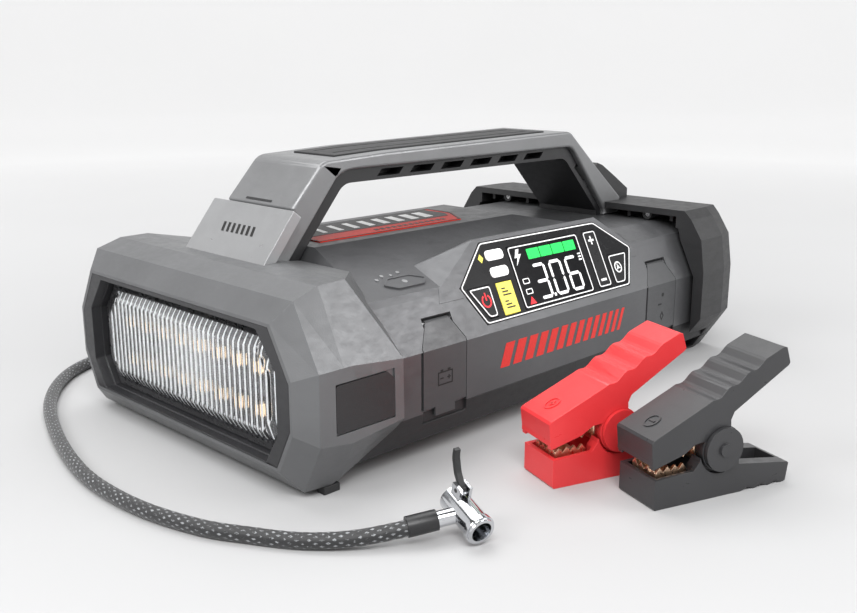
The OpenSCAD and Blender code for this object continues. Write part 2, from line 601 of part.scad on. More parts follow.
module compressor_motor() color("#8d8f92") in_pack() translate(pump_at) translate([8, 0, 0]) difference() {
    union() {
        translate([0, -gear_span, 0]) rotate([0, 90, 0]) cylinder(r = 16, h = 44);
        translate([4, -gear_span - 10, -pump_at[2] + floor_z]) cube([36, 20, 16]);
    }
    translate([-1, -gear_span, 0]) rotate([0, 90, 0]) cylinder(r = 2 + fit, h = 60);
}
module motor_rotor() color("#c9b24a") in_pack() translate(pump_at) translate([0, -gear_span, 0])
    rotate([0, 90, 0]) {
        translate([0, 0, -5]) cylinder(r = 2, h = 64);
        translate([0, 0, -4]) rotate([0, 0, 90]) gear(5.6, 12, 5);
        translate([0, 0, 54]) linear_extrude(4) {
            circle(r = 4);
            for (a = [0:60:300]) rotate(a) translate([3, -0.6]) square([10, 1.2]);
        }
    }
module crank_gear() color("#9a9b9d") in_pack() translate(pump_at) rotate([0, 90, 0]) {
    translate([0, 0, -4]) rotate([0, 0, -90 + 180 / 48]) gear(22.4, 48, 4);
    translate([0, 0, -4]) cylinder(r = 3, h = 14);
}

// ---------- hose and chuck ----------

module hose_gland() color("#232426") translate(gland_at) rotate([-90, 0, 0]) difference() {
    union() {
        translate([0, 0, -8]) cylinder(r = 5.9, h = 8);
        cylinder(r1 = 7.4, r2 = hose_r + 1, h = 20);
        translate([0, 0, -9]) cylinder(r = 8, h = 2);
    }
    translate([0, 0, -10]) cylinder(r = 1.6, h = 14);
}
function direction(i) = let (n = len(ROUTE))
    unit(ROUTE[min(n - 1, i + 1)] - ROUTE[max(0, i - 1)]);
function hose_ring(i) = let (d = direction(i), side = unit(cross([0, 0, 1], d)), up = cross(d, side))
    [for (k = [0:11]) ROUTE[i] + hose_r * (cos(30 * k) * side + sin(30 * k) * up)];
module hose() color("#2a2b2d") loft([for (i = [0:len(ROUTE) - 1]) hose_ring(i)]);
function hose_end() = ROUTE[len(ROUTE) - 1];
module along_hose_end() translate(hose_end()) rotate([0, 90, atan2(direction(len(ROUTE) - 1)[1],
    direction(len(ROUTE) - 1)[0])]) children();
module hose_ferrule() color("#17181a") translate(hose_end())
    rotate([0, acos(end_way[2]), atan2(end_way[1], end_way[0])]) translate([0, 0, -9])
        cylinder(r = hose_r + 0.8, h = 11);
// The chuck's barrel: z runs out of its bore, y is up
module on_chuck() translate(chuck_at) rotate([90 + chuck_tilt, 0, chuck_turn]) children();
barrel_front = valve_depth - 1;
module chuck_body() color("#c9cbce") difference() {
    union() {
        on_chuck() translate([0, 0, -9]) cylinder(r = chuck_r, h = barrel_front + 9);
        on_chuck() translate([0, 0, barrel_front - 3]) cylinder(r = chuck_r + 0.6, h = 2);
        on_chuck() for (side = [-1, 1]) translate([side * 2 - 0.6, 2, -7]) cube([1.2, 7, 5.4]);
        translate(hose_end() + 2.05 * end_way) rotate([0, acos(end_way[2]), atan2(end_way[1], end_way[0])])
            cylinder(r = 3, h = norm(chuck_at - hose_end()) - 2);
    }
    on_chuck() translate([0, 0, -1]) cylinder(r = valve_r, h = valve_depth + 1);
    on_chuck() translate([0, 0, -3]) cylinder(r = seal_r, h = 2 + eps);
    on_chuck() translate([-4, lever_pivot[0], lever_pivot[1]]) rotate([0, 90, 0])
        cylinder(r = 0.8 + fit, h = 8);
}
module chuck_lever() color("#3a3b3d") on_chuck() translate([0, lever_pivot[0], lever_pivot[1]]) {
    rotate([0, 90, 0]) cylinder(r = 1.5, h = 2.2, center = true);
    rotate([0, 90, 0]) cylinder(r = 0.8, h = 5.4, center = true);
    rotate([90, 0, 90]) linear_extrude(2.2, center = true) polygon(rounded([
        [-0.4, -1.3, 0], [1.6, 0, 0], [5, -3.4, 5], [10, -6, 6], [12.6, -6.2, 0], [12.6, -7.8, 0],
        [9, -7.6, 6], [4, -5, 5], [0.5, -1.4, 0]]));
}
module chuck_seal() color("#141516") on_chuck() translate([0, 0, -2.95]) difference() {
    cylinder(r = seal_r - 0.1, h = 1.9);
    translate([0, 0, -1]) cylinder(r = 1.2, h = 4);
}

// ---------- clamps ----------

function waves(x0, z0, x1, z1, depth, count) = [for (i = [0:8 * count])
    let (t = i / (8 * count)) [x0 + (x1 - x0) * t, z0 + (z1 - z0) * t - depth * (1 - cos(360 * count * t)) / 2]];
function jaw_low() = concat([[0.6, 0], [0, 0.8], [0, 12], [18, 12.8], [20.5, 16], [22, 20], [40, 20],
    [40, 12], [clamp_len - 0.6, 8.4], [clamp_len, 7.8], [clamp_len - 1, 0.6]],
    waves(clamp_len - 3, 0, clamp_len - 24, 0, -1.2, 3));
function jaw_high() = concat([[-1.2, 16.6], [-2.4, 27.2], [-1.6, 28.2], [22, 38.6]],
    waves(24, 39.6, clamp_len - 16, 53.4, 1.4, 3),
    [[clamp_len - 7.4, 57], [clamp_len - 6, 56.6], [clamp_len - 3.8, 50.2], [clamp_len - 4.4, 49.2],
    [36, 34], [34.6, 31], [35, 26], [31, 22], [22, 24], [18, 23.6], [13, 20.5]]);
module pivot_bar(r, h) translate([clamp_pivot[0], 0, clamp_pivot[1]]) rotate([90, 0, 0])
    cylinder(r = r, h = h, center = true);

module lower_jaw() difference() {
    union() {
        difference() {
            along_y(clamp_w) polygon(jaw_low());
            pivot_bar(pivot_cap_r + 1, clamp_w + 2);
            translate([2, -clamp_inner + pivot_cheek, 2])
                cube([clamp_len - 4, 2 * (clamp_inner - pivot_cheek), 60]);
            translate([2, -clamp_w / 2 + 2, 2.4]) cube([17, clamp_w - 4, 60]);
        }
        // inner cheeks that carry the pivot
        for (side = [-1, 1]) translate([0, side * (clamp_inner - pivot_cheek / 2), 0]) intersection() {
            union() {
                pivot_bar(8.6, pivot_cheek);
                along_y(pivot_cheek) polygon([[22, 1], [40, 1], [40, 12], [36, 20], [26, 20], [22, 14]]);
            }
            along_y(4) polygon([[0, 0], [60, 0], [60, 60], [0, 60]]);
        }
    }
    pivot_bar(clamp_pin_r + 0.02, clamp_w + 4);
    pivot_bar(spring_r + 1.5, 2 * (clamp_inner - pivot_cheek));
}
module upper_jaw() difference() {
    union() {
        difference() {
            along_y(clamp_w) polygon(jaw_high());
            // hollow between the side walls, under the top wall
            along_y(clamp_w - 2 * clamp_cheek) polygon([
                [-4, 10], [1, 24.6], [22, 34.8], [clamp_len - 12, 49], [clamp_len + 4, 46],
                [36, 28], [36, 10]]);
            translate([-6, -clamp_w / 2 + clamp_cheek, 10]) cube([2, 2, 2]);
        }
        for (side = [-1, 1]) translate([0, side * (clamp_w / 2 - clamp_cheek / 2), 0])
            pivot_bar(pivot_cap_r, clamp_cheek);
        translate([-1.6, -clamp_w / 2, 18]) cube([2, clamp_w, 8]);
    }
    pivot_bar(clamp_pin_r + fit, clamp_w + 2);
}
module tooth_row(count, tip) for (i = [0:count - 1]) translate([i * tooth_pitch, 0, 0])
    rotate([90, 0, 0]) linear_extrude(1.2, center = true)
        polygon([[0, 0], [tooth_pitch, 0], [tooth_pitch / 2, tip]]);
jaw_half = clamp_w / 2 - 3.8;
module lower_teeth() {
    translate([3, -jaw_half, 8.4]) cube([15, 2 * jaw_half, 1.2]);
    for (side = [-1, 1]) translate([3, side * (jaw_half - 0.6), 9]) {
        translate([0, -0.6, 0]) cube([4 * tooth_pitch, 1.2, 4]);
        translate([0, 0, 4]) tooth_row(4, 2.2);
    }
    translate([3.6, 0, 9]) rotate([0, 0, 90]) translate([-jaw_half, 0, 0]) {
        translate([0, -0.6, 0]) cube([2 * jaw_half, 1.2, 3.4]);
        translate([0, 0, 3.4]) tooth_row(floor(2 * jaw_half / tooth_pitch), 2);
    }
}
module upper_teeth() {
    for (side = [-1, 1]) translate([0, side * (jaw_half - 0.6), 0]) along_y(1.2) polygon(concat(
        [[1.2, 24], [14, 29]], [for (i = [0:8]) [17.4 - i * tooth_pitch / 2,
            (i % 2 == 0 ? 20.4 : 17.8) - 0.1 * i]]));
    translate([1.4, 0, 22.6]) rotate([0, -24, 0]) translate([0, -jaw_half, 0]) cube([13, 2 * jaw_half, 1.2]);
}
module clamp_spring() for (i = [-spring_turns:spring_turns])
    translate([clamp_pivot[0], i * spring_half / spring_turns, clamp_pivot[1]])
        rotate([90, 0, 0]) rotate_extrude() translate([spring_r, 0]) circle(r = spring_wire_r, $fn = 24);
module clamp_rivet() {
    pivot_bar(clamp_pin_r, clamp_w + 3);
    for (side = [-1, 1]) translate([0, side * (clamp_w / 2 + 1.15), 0]) {
        pivot_bar(pivot_cap_r - 0.4, 1.6);
        translate([0, side * 0.5, 0]) pivot_bar(2.6, 2.4);
    }
}
module at_red() translate(red_at) rotate([0, 0, clamp_yaw]) translate([0, clamp_w / 2, 0]) children();
module at_black() translate(black_at) rotate([0, 0, clamp_yaw]) translate([0, clamp_w / 2, 0]) children();
module red_lower_jaw() color("#d9383b") at_red() lower_jaw();
module red_upper_jaw() color("#e0484b") at_red() upper_jaw();
module red_lower_teeth() color("#e0b088") at_red() lower_teeth();
module red_upper_teeth() color("#e0b088") at_red() upper_teeth();
module red_spring() color("#c98f63") at_red() clamp_spring();
module red_pivot() color("#d9383b") at_red() clamp_rivet();
module black_lower_jaw() color("#3a3a3c") at_black() lower_jaw();
module black_upper_jaw() color("#2f2f31") at_black() upper_jaw();
module black_lower_teeth() color("#e0b088") at_black() lower_teeth();
module black_upper_teeth() color("#e0b088") at_black() upper_teeth();
module black_spring() color("#c98f63") at_black() clamp_spring();
module black_pivot() color("#3a3a3c") at_black() clamp_rivet();

head_shell();
lamp_bezel();
lamp_lens();
lamp_reflector();
led_board();
head_pad_near();
head_pad_far();
front_feet();
body_upper_shell();
body_lower_shell();
base_pad();
handle_frame();
handle_liner();
handle_grip();
handle_nose_plate();
rear_bumper();
bumper_screws();
top_label();
control_fascia();
display_screen();
indicator_lamps();
power_button();
unit_button();
adjust_rocker();
pump_button();
jump_port_cover();
jump_cover_pin();
jump_socket();
usb_port_cover();
usb_cover_pin();
usb_socket_block();
battery_pack();
control_board();
compressor_block();
compressor_motor();
motor_rotor();
crank_gear();
hose_gland();
hose();
hose_ferrule();
chuck_body();
chuck_lever();
chuck_seal();
red_lower_jaw();
red_upper_jaw();
red_lower_teeth();
red_upper_teeth();
red_spring();
red_pivot();
black_lower_jaw();
black_upper_jaw();
black_lower_teeth();
black_upper_teeth();
black_spring();
black_pivot();
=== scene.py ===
"""Looks of the jump starter pack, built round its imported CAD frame. Lengths below are millimetres
from the lamp's face (x), the pack's middle (y) and the floor (z); at() turns them into metres."""
import math
import random

import bmesh
import bpy
from mathutils import Matrix, Vector


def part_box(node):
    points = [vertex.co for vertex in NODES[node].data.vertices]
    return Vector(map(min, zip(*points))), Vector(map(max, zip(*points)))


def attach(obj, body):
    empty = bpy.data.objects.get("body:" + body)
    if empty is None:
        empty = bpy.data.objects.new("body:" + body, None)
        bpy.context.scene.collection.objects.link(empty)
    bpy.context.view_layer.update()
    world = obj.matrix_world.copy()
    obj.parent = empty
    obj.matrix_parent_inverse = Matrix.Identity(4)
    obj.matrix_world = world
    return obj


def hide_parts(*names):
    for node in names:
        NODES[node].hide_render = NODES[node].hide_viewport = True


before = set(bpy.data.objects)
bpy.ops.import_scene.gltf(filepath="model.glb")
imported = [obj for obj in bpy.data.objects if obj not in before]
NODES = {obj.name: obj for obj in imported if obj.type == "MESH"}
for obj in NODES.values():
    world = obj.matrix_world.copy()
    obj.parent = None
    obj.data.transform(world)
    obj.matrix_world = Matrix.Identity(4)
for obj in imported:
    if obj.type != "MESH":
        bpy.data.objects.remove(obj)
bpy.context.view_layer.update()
random.seed(7)

MM = 0.001
YARNS_PER_UNIT = 2.3                 # crossings of the sleeve's yarns, along the tube's UV
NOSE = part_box("lamp_bezel")[0][0] / MM
SHOULDER_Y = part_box("body_upper_shell")[1][1] / MM
SHOULDER_Z = 47.2
TILT = math.radians(25.6)


def at(x, y, z):
    return Vector((x + NOSE, y, z)) * MM


def on_facet(x, s, h):
    """A point on the control side's shoulder facet: s up its slope, h proud of it."""
    return at(x, -SHOULDER_Y + s * math.sin(TILT) - h * math.cos(TILT),
              SHOULDER_Z + s * math.cos(TILT) + h * math.sin(TILT))


def on_side(x, z, h):
    return at(x, -SHOULDER_Y - h, z)


def on_top(x, y, h, level=85.0):
    return at(x, y, level + h)


# ---------------------------------------------------------------- materials

class Tree:
    """A material's node tree, with short calls for the nodes used here."""

    def __init__(self, name):
        self.material = bpy.data.materials.new(name)
        self.material.use_nodes = True
        self.nodes = self.material.node_tree.nodes
        self.link = self.material.node_tree.links.new
        self.shader = self.nodes["Principled BSDF"]
        self.place = self.add("ShaderNodeTexCoord").outputs["Object"]

    def add(self, kind, **sockets):
        node = self.nodes.new(kind)
        for key, value in sockets.items():
            node.inputs[key.replace("_", " ")].default_value = value
        return node

    def noise(self, scale, detail=3.0, rough=0.6, stretch=None, seed=0.0):
        node = self.add("ShaderNodeTexNoise", Scale=scale, Detail=detail, Roughness=rough)
        place = self.place
        if stretch or seed:
            shift = self.add("ShaderNodeMapping", Location=(seed, seed * 0.7, -seed))
            if stretch:
                shift.inputs["Scale"].default_value = stretch
            self.link(place, shift.inputs["Vector"])
            place = shift.outputs["Vector"]
        self.link(place, node.inputs["Vector"])
        return node.outputs["Fac"]

    def ramp(self, source, stops):
        node = self.add("ShaderNodeValToRGB")
        ramp = node.color_ramp
        while len(ramp.elements) < len(stops):
            ramp.elements.new(0.5)
        for element, (where, colour) in zip(ramp.elements, stops):
            element.position = where
            element.color = (*colour, 1.0)
        self.link(source, node.inputs["Fac"])
        return node.outputs["Color"]

    def span(self, source, low, high, start=0.0, end=1.0):
        node = self.add("ShaderNodeMapRange")
        node.inputs["From Min"].default_value = start
        node.inputs["From Max"].default_value = end
        node.inputs["To Min"].default_value = low
        node.inputs["To Max"].default_value = high
        self.link(source, node.inputs["Value"])
        return node.outputs["Result"]

    def math(self, kind, a, b):
        node = self.add("ShaderNodeMath")
        node.operation = kind
        for socket, value in zip(node.inputs, (a, b)):
            if isinstance(value, (int, float)):
                socket.default_value = value
            else:
                self.link(value, socket)
        return node.outputs["Value"]

    def bump(self, height, distance, strength=0.5, after=None):
        node = self.add("ShaderNodeBump", Strength=strength, Distance=distance)
        self.link(height, node.inputs["Height"])
        if after:
            self.link(after, node.inputs["Normal"])
        self.link(node.outputs["Normal"], self.shader.inputs["Normal"])
        return node.outputs["Normal"]

    def fixed(self, **sockets):
        names = {"ior": "IOR", "coat": "Coat Weight", "coat_roughness": "Coat Roughness",
                 "transmission": "Transmission Weight", "sheen": "Sheen Weight",
                 "emission": "Emission Strength", "specular": "Specular IOR Level"}
        for key, value in sockets.items():
            self.shader.inputs[names.get(key, key.title())].default_value = value
        return self


def shade(colour, factor):
    return tuple(min(1.0, c * factor) for c in colour)


def moulded(name, colour, rough, grain=0.00004, grain_scale=1800.0, metallic=0.0, coat=0.0, spread=0.12,
            specular=0.5):
    """Moulded or painted plastic: fine grain, slow cloudy variation and handling marks."""
    t = Tree(name)
    cloud = t.noise(22.0, 4.0, 0.6, seed=1.3)
    t.link(t.ramp(cloud, [(0.25, shade(colour, 1 - spread)), (0.75, shade(colour, 1 + spread))]),
           t.shader.inputs["Base Color"])
    marks = t.noise(160.0, 5.0, 0.7, stretch=(1.0, 1.0, 2.2), seed=4.0)
    t.link(t.span(marks, rough - 0.07, rough + 0.09, 0.3, 0.7), t.shader.inputs["Roughness"])
    fine = t.noise(grain_scale, 2.0, 0.5)
    t.bump(fine, grain, 0.6, t.bump(marks, 0.00003, 0.25))
    t.fixed(metallic=metallic, coat=coat, specular=specular)
    return t.material


def metal(name, colour, rough, brushed=None, spread=0.06):
    t = Tree(name)
    cloud = t.noise(60.0, 3.0, 0.6)
    t.link(t.ramp(cloud, [(0.3, shade(colour, 1 - spread)), (0.7, shade(colour, 1 + spread))]),
           t.shader.inputs["Base Color"])
    streak = t.noise(500.0, 3.0, 0.6, stretch=brushed or (1.0, 1.0, 1.0))
    t.link(t.span(streak, rough * 0.7, rough * 1.4, 0.3, 0.7), t.shader.inputs["Roughness"])
    t.bump(streak, 0.00002, 0.4)
    t.fixed(metallic=1.0)
    return t.material


def clear(name, tint, rough=0.03):
    t = Tree(name)
    t.shader.inputs["Base Color"].default_value = (*tint, 1.0)
    haze = t.noise(240.0, 3.0, 0.6)
    t.link(t.span(haze, rough * 0.6, rough * 1.6, 0.3, 0.7), t.shader.inputs["Roughness"])
    t.fixed(transmission=1.0, ior=1.46)
    return t.material


def printed(name, colour, rough=0.35, glow=0.0):
    t = Tree(name)
    dots = t.noise(900.0, 2.0, 0.5)
    t.link(t.ramp(dots, [(0.3, shade(colour, 0.93)), (0.7, shade(colour, 1.04))]),
           t.shader.inputs["Base Color"])
    t.link(t.span(dots, rough - 0.04, rough + 0.06, 0.3, 0.7), t.shader.inputs["Roughness"])
    t.fixed(specular=0.2)
    if glow:
        t.shader.inputs["Emission Color"].default_value = (*colour, 1.0)
        t.fixed(emission=glow)
    return t.material


def braid(name):
    """Woven sleeve of black and grey yarns; the tube's UV runs (along, around)."""
    t = Tree(name)
    uv = t.add("ShaderNodeSeparateXYZ")
    t.link(t.add("ShaderNodeTexCoord").outputs["UV"], uv.inputs["Vector"])
    along, around = uv.outputs["X"], uv.outputs["Y"]
    cells = []
    for sign in (1.0, -1.0):
        turn = t.math("ADD", t.math("MULTIPLY", along, YARNS_PER_UNIT), t.math("MULTIPLY", around, sign * 8.0))
        cells.append(t.math("FRACT", turn, 0.0))
    over = t.math("MULTIPLY", t.math("GREATER_THAN", cells[0], 0.58), t.math("GREATER_THAN", cells[1], 0.58))
    fleck = t.noise(700.0, 2.0, 0.6)
    light = t.math("MULTIPLY", over, t.span(fleck, 0.0, 1.0, 0.42, 0.56))
    yarn = t.ramp(light, [(0.0, (0.012, 0.012, 0.013)), (1.0, (0.25, 0.26, 0.27))])
    t.link(yarn, t.shader.inputs["Base Color"])
    fibre = t.noise(2600.0, 2.0, 0.6)
    t.link(t.span(fibre, 0.38, 0.62), t.shader.inputs["Roughness"])
    t.bump(t.math("ADD", over, fibre), 0.00018, 0.6)
    t.fixed(sheen=0.2)
    return t.material


MAT = {
    "head": moulded("head_grey", (0.135, 0.137, 0.141), 0.40, metallic=0.45, grain=0.00006),
    "body": moulded("body_grey", (0.092, 0.093, 0.097), 0.38, metallic=0.45),
    "bar": moulded("handle_grey", (0.20, 0.202, 0.206), 0.36, metallic=0.5),
    # painted highlight: the nose plate's grey is set lighter than the shells' greys, for the light that its front-up
    # facing catches
    "plate": moulded("plate_grey_painted_highlight", (0.30, 0.302, 0.307), 0.34, metallic=0.55),
    "charcoal": moulded("charcoal", (0.015, 0.015, 0.016), 0.48, grain=0.00007),
    "lower": moulded("lower_shell", (0.011, 0.011, 0.012), 0.48, grain=0.00007),
    "bezel": moulded("bezel", (0.020, 0.020, 0.022), 0.40, grain=0.00006),
    "cover": moulded("cover", (0.066, 0.067, 0.07), 0.40, metallic=0.3),
    "black": moulded("black_plastic", (0.012, 0.012, 0.013), 0.38, grain=0.00005),
    "rubber": moulded("black_rubber", (0.016, 0.016, 0.017), 0.62, grain=0.0001, grain_scale=900.0),
    "panel": moulded("panel_gloss", (0.014, 0.014, 0.015), 0.24, grain=0.00001, specular=0.06),
    "key": moulded("key_gloss", (0.02, 0.02, 0.021), 0.3, grain=0.00002, specular=0.08),
    # painted glow: the yellow key and the panel's diamond emit light though neither is lit
    "yellow": printed("yellow_key", (0.90, 0.78, 0.12), 0.3, glow=0.12),
    "screen": moulded("screen", (0.006, 0.006, 0.007), 0.2, grain=0.000005, specular=0.05),
    "white": printed("lit_white", (0.95, 0.95, 0.95), 0.3, glow=0.3),
    # print with a painted glow: the white lines, borders and ticks emit light though they are only print
    "line": printed("printed_white_painted_glow", (0.85, 0.85, 0.85), 0.35, glow=0.1),
    "green": printed("lit_green", (0.012, 0.68, 0.10), 0.3, glow=0.35),
    "red_mark": printed("printed_red", (0.62, 0.035, 0.03), 0.35),
    "red_lit": printed("lit_red", (0.8, 0.02, 0.03), 0.3, glow=0.3),
    "ink": printed("black_ink", (0.02, 0.02, 0.02), 0.4),
    "label_red": printed("label_red", (0.55, 0.022, 0.010), 0.42),
    "lens": clear("lens_clear", (0.97, 0.98, 0.99), 0.02),
    "mirror": moulded("reflector", (0.10, 0.10, 0.105), 0.28, metallic=0.7),
    "board": printed("board_white", (0.42, 0.41, 0.39), 0.4),
    "led": printed("led_phosphor", (0.95, 0.72, 0.48), 0.35, glow=0.9),
    # painted glow: the LED cases are white plastic but emit light
    "led_case": printed("led_case", (0.90, 0.80, 0.62), 0.3, glow=0.3),
    # painted highlight: the bright lines of the lens's flutes are white glowing strips
    "glint": printed("flute_painted_glint", (0.92, 0.93, 0.94), 0.2, glow=0.3),
    "steel": metal("steel", (0.55, 0.55, 0.56), 0.28, brushed=(1.0, 6.0, 1.0)),
    "chrome": metal("chrome", (0.62, 0.63, 0.65), 0.1, spread=0.03),
    "copper": metal("copper", (0.90, 0.62, 0.43), 0.32, brushed=(3.0, 1.0, 1.0)),
    "brass": metal("brass", (0.62, 0.46, 0.16), 0.3),
    "clamp_red": moulded("clamp_red", (0.64, 0.032, 0.036), 0.34, spread=0.05),
    "clamp_black": moulded("clamp_black", (0.030, 0.030, 0.032), 0.34, spread=0.1),
    "blue": moulded("socket_blue", (0.03, 0.10, 0.36), 0.35),
    "wrap": moulded("battery_wrap", (0.03, 0.13, 0.34), 0.2, coat=0.5),
    "circuit": moulded("circuit_green", (0.012, 0.13, 0.05), 0.25, coat=0.4),
    "alloy": metal("cast_alloy", (0.5, 0.51, 0.52), 0.42),
    "braid": braid("hose_braid"),
}

CAD_LOOKS = {
    "head_shell": ("head", 1.1), "lamp_bezel": ("bezel", 0.6), "lamp_reflector": ("mirror", 0.0),
    "led_board": ("board", 0.0), "head_pad_near": ("charcoal", 0.25), "head_pad_far": ("charcoal", 0.25),
    "front_feet": ("rubber", 0.4), "body_upper_shell": ("body", 0.7), "body_lower_shell": ("lower", 0.5),
    "base_pad": ("rubber", 0.5), "handle_frame": ("bar", 1.3), "handle_liner": ("black", 0.5),
    "handle_grip": ("rubber", 0.4), "handle_nose_plate": ("plate", 0.7), "rear_bumper": ("charcoal", 1.0),
    "bumper_screws": ("steel", 0.15), "top_label": ("label_red", 0.0), "control_fascia": ("panel", 0.2),
    "display_screen": ("screen", 0.1), "indicator_lamps": ("white", 0.1), "power_button": ("key", 0.25),
    "unit_button": ("yellow", 0.25), "adjust_rocker": ("key", 0.25), "pump_button": ("key", 0.25),
    "jump_port_cover": ("cover", 0.35), "usb_port_cover": ("cover", 0.35), "jump_cover_pin": ("steel", 0.0),
    "usb_cover_pin": ("steel", 0.0), "jump_socket": ("blue", 0.3), "usb_socket_block": ("alloy", 0.3),
    "battery_pack": ("wrap", 0.6), "control_board": ("circuit", 0.2), "compressor_block": ("alloy", 0.4),
    "compressor_motor": ("steel", 0.5), "motor_rotor": ("brass", 0.1), "crank_gear": ("steel", 0.1),
    "hose_gland": ("black", 0.3), "hose_ferrule": ("black", 0.4), "chuck_body": ("chrome", 0.25),
    "chuck_lever": ("black", 0.25), "chuck_seal": ("rubber", 0.1), "lamp_lens": ("lens", 0.0),
}
for clamp in ("red", "black"):
    for part, width in (("lower_jaw", 0.7), ("upper_jaw", 0.8), ("pivot", 0.4)):
        CAD_LOOKS[f"{clamp}_{part}"] = (f"clamp_{clamp}", width)
    for part in ("lower_teeth", "upper_teeth", "spring"):
        CAD_LOOKS[f"{clamp}_{part}"] = ("copper", 0.1 if part != "spring" else 0.0)


def soften(obj, width, segments=3, angle=28.0):
    """Welds a mesh's seams and rounds its edges, by a modifier, so the mesh itself stays as it is."""
    weld = obj.modifiers.new("weld", "WELD")
    weld.merge_threshold = 0.00002
    if width > 0.0:
        bevel = obj.modifiers.new("round", "BEVEL")
        bevel.width = width * MM
        bevel.segments = segments
        bevel.limit_method = "ANGLE"
        bevel.angle_limit = math.radians(angle)
        bevel.harden_normals = False
        bevel.use_clamp_overlap = True


def dress(obj, look):
    obj.data.materials.clear()
    obj.data.materials.append(MAT[look])


for name, (look, width) in CAD_LOOKS.items():
    node = NODES[name]
    for slot in node.material_slots:
        slot.material = MAT[look]
    if not node.material_slots:
        node.data.materials.append(MAT[look])
    soften(node, width)


# ---------------------------------------------------------------- pieces

def piece(name, verts, faces, look, body="pack", smooth=30.0):
    mesh = bpy.data.meshes.new(name)
    mesh.from_pydata([tuple(v) for v in verts], [], faces)
    mesh.validate()
    work = bmesh.new()
    work.from_mesh(mesh)
    bmesh.ops.recalc_face_normals(work, faces=work.faces)
    work.to_mesh(mesh)
    work.free()
    obj = bpy.data.objects.new(name, mesh)
    bpy.context.scene.collection.objects.link(obj)
    mesh.materials.append(MAT[look])
    for polygon in mesh.polygons:
        polygon.use_smooth = True
    mesh.set_sharp_from_angle(angle=math.radians(smooth))
    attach(obj, body)
    return obj


class Heap:
    """Collects prisms and strips that end up as one piece."""

    def __init__(self, place):
        self.place, self.verts, self.faces = place, [], []

    def prism(self, outline, low, high):
        base, n = len(self.verts), len(outline)
        self.verts += [self.place(a, b, low) for a, b in outline]
        self.verts += [self.place(a, b, high) for a, b in outline]
        self.faces += [list(range(base, base + n)), list(range(base + 2 * n - 1, base + n - 1, -1))]
        self.faces += [[base + i, base + (i + 1) % n, base + n + (i + 1) % n, base + n + i] for i in range(n)]

    def frame(self, outline, width, low, high):
        inner, n, base = shrunk(outline, width), len(outline), len(self.verts)
        for ring, level in ((outline, low), (outline, high), (inner, high), (inner, low)):
            self.verts += [self.place(a, b, level) for a, b in ring]
        for k in range(4):
            for i in range(n):
                a, b = base + k * n, base + ((k + 1) % 4) * n
                self.faces.append([a + i, a + (i + 1) % n, b + (i + 1) % n, b + i])

    def make(self, name, look, body="pack", slot=None):
        return piece(name, self.verts, self.faces, look, body)


def shrunk(outline, width):
    """The outline moved inwards by width, its corners mitred; it runs anticlockwise."""
    out, n = [], len(outline)
    area = sum(outline[i][0] * outline[(i + 1) % n][1] - outline[(i + 1) % n][0] * outline[i][1]
               for i in range(n))
    side = 1.0 if area > 0 else -1.0
    for i in range(n):
        a, b, c = Vector(outline[i - 1]), Vector(outline[i]), Vector(outline[(i + 1) % n])
        u, v = (b - a).normalized(), (c - b).normalized()
        m = Vector((-u.y - v.y, u.x + v.x)) * side
        m.normalize()
        out.append(tuple(b + m * width / max(0.35, m.dot(Vector((-u.y, u.x)) * side))))
    return out


def rounded(outline, radius, steps=5):
    out, n = [], len(outline)
    for i in range(n):
        a, b, c = Vector(outline[i - 1]), Vector(outline[i]), Vector(outline[(i + 1) % n])
        reach = min(radius, 0.45 * (a - b).length, 0.45 * (c - b).length)
        p, q = b + (a - b).normalized() * reach, b + (c - b).normalized() * reach
        for k in range(steps + 1):
            t = k / steps
            out.append(tuple((1 - t) ** 2 * p + 2 * t * (1 - t) * b + t ** 2 * q))
    return out


def disc(x, y, r, steps=20):
    return [(x + r * math.cos(math.tau * k / steps), y + r * math.sin(math.tau * k / steps))
            for k in range(steps)]


def box(x0, y0, x1, y1):
    return [(x0, y0), (x1, y0), (x1, y1), (x0, y1)]


# ---------------------------------------------------------------- lamp lens

WINDOW = [(62.0, 15.0), (70.0, 27.0), (70.0, 51.0), (58.5, 65.0)]
WINDOW = WINDOW + [(-y, z) for y, z in reversed(WINDOW)]
FLUTE = 3.5
FLUTE_DEPTH = 0.35
RIM = 8.5


def inside(y, z):
    """Distance from the window's edge, inwards."""
    best = 1e9
    for i, (y0, z0) in enumerate(WINDOW):
        y1, z1 = WINDOW[(i + 1) % len(WINDOW)]
        length = math.hypot(y1 - y0, z1 - z0)
        best = min(best, ((y1 - y0) * (z - z0) - (z1 - z0) * (y - y0)) / length)
    return best


def reach(y):
    """Lowest and highest z of the window at y."""
    low, high = 15.0, 65.0
    y = abs(y)
    if y > 62.0:
        low = 15.0 + 12.0 * (y - 62.0) / 8.0
    if y > 58.5:
        high = 65.0 - 14.0 * (y - 58.5) / 11.5
    return low, high


def lens_x(y, z):
    """The lens's middle surface: flat inside, sloping forwards near its rim."""
    edge = max(0.0, 1 - max(0.0, inside(y, z)) / RIM)
    return 3.0 + 5.6 * edge ** 1.15 + 0.5 * (y / 70) ** 2


def glints():
    """Painted highlights: a glowing strip behind each valley between two flutes stands in for the bright line that the
    valley shows.
    """
    verts, faces, rows = [], [], 30
    for k in range(-19, 20):
        y = k * FLUTE
        low, high = reach(abs(y) + 0.4)
        for i in range(rows + 1):
            z = low + 0.6 + (high - low - 1.2) * i / rows
            for side in (-0.42, 0.42):
                verts.append(at(lens_x(y, z) + 2.05, y + side, z))
        for i in range(rows):
            a = len(verts) - 2 * (rows + 1) + 2 * i
            faces.append([a, a + 1, a + 3, a + 2])
    piece("lens_painted_glints", verts, faces, "glint", smooth=60.0)


